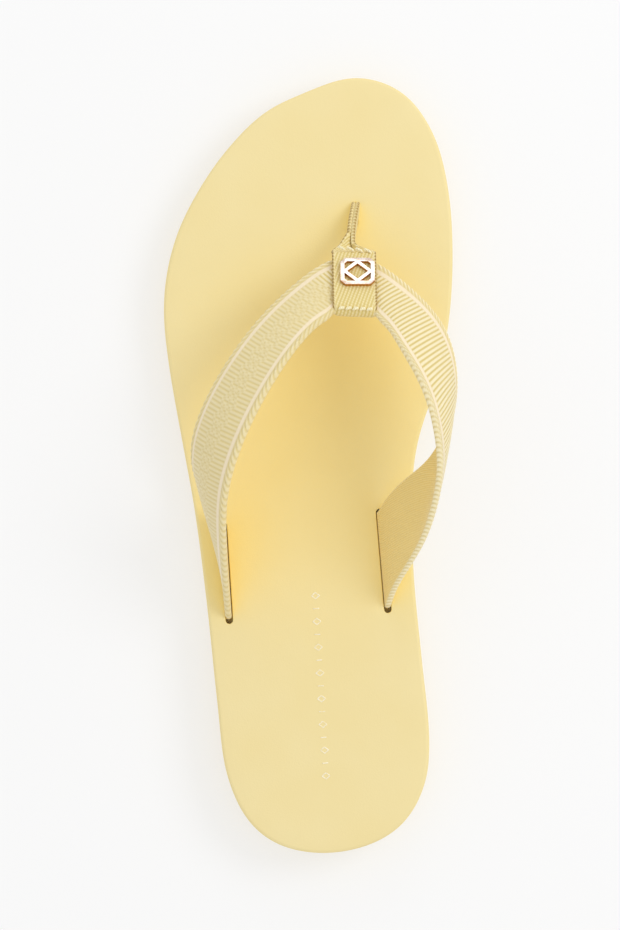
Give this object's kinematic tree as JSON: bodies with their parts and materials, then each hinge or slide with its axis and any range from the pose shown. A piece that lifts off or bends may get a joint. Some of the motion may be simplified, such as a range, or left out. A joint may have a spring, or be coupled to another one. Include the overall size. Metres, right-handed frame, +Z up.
{
  "type": "flip flop sandal",
  "caption": "Left thong sandal: flat layered foam sole, wide woven strap arched over the foot, folded toe tape with a small metal ornament.",
  "frame": {"origin": "on the underside of the sole, at mid-length and mid-width", "axes": "+Y towards the toes, +X towards the big-toe (medial) side, +Z up"},
  "size_m": [0.0962, 0.255, 0.061],
  "materials": {
    "outsole_rubber": "matt moulded rubber",
    "midsole_foam": "matt fine-celled foam",
    "footbed_foam": "matt smooth foam",
    "print_foil": "pale satin foil",
    "webbing": "ribbed woven webbing with corded edges",
    "toe_tape": "twill tape",
    "thread": "sewing thread",
    "ornament_metal": "polished pale gold plate"
  },
  "bodies": {
    "heel": {"outsole_heel": "outsole_rubber", "midsole_heel": "midsole_foam", "footbed_heel": "footbed_foam", "footbed_print": "print_foil", "webbing_tab_lateral": "webbing", "webbing_tab_medial": "webbing"},
    "forefoot": {"outsole_forefoot": "outsole_rubber", "midsole_forefoot": "midsole_foam", "footbed_forefoot": "footbed_foam", "toe_tape_tab": "toe_tape"},
    "strap": {"strap_webbing": "webbing", "toe_tape": "toe_tape", "tape_stitching_front": "thread", "tape_stitching_rear": "thread", "ornament": "ornament_metal", "ornament_washer": "ornament_metal"}
  },
  "joints": [
    {"name": "ball_flex", "type": "hinge", "parent": "heel", "child": "forefoot", "pos_m": [0, 0.052, 0.0135], "axis": [1, 0, 0], "range_deg": [0, 25], "stiffness_Nm_per_rad": 0.6},
    {"name": "strap_swing", "type": "hinge", "parent": "heel", "child": "strap", "pos_m": [0, -0.033, 0.006], "axis": [1, 0, 0], "range_deg": [0, 6]}
  ],
  "couplings": [
    {"joint": "strap_swing", "follows": "ball_flex", "ratio": 0.24}
  ]
}
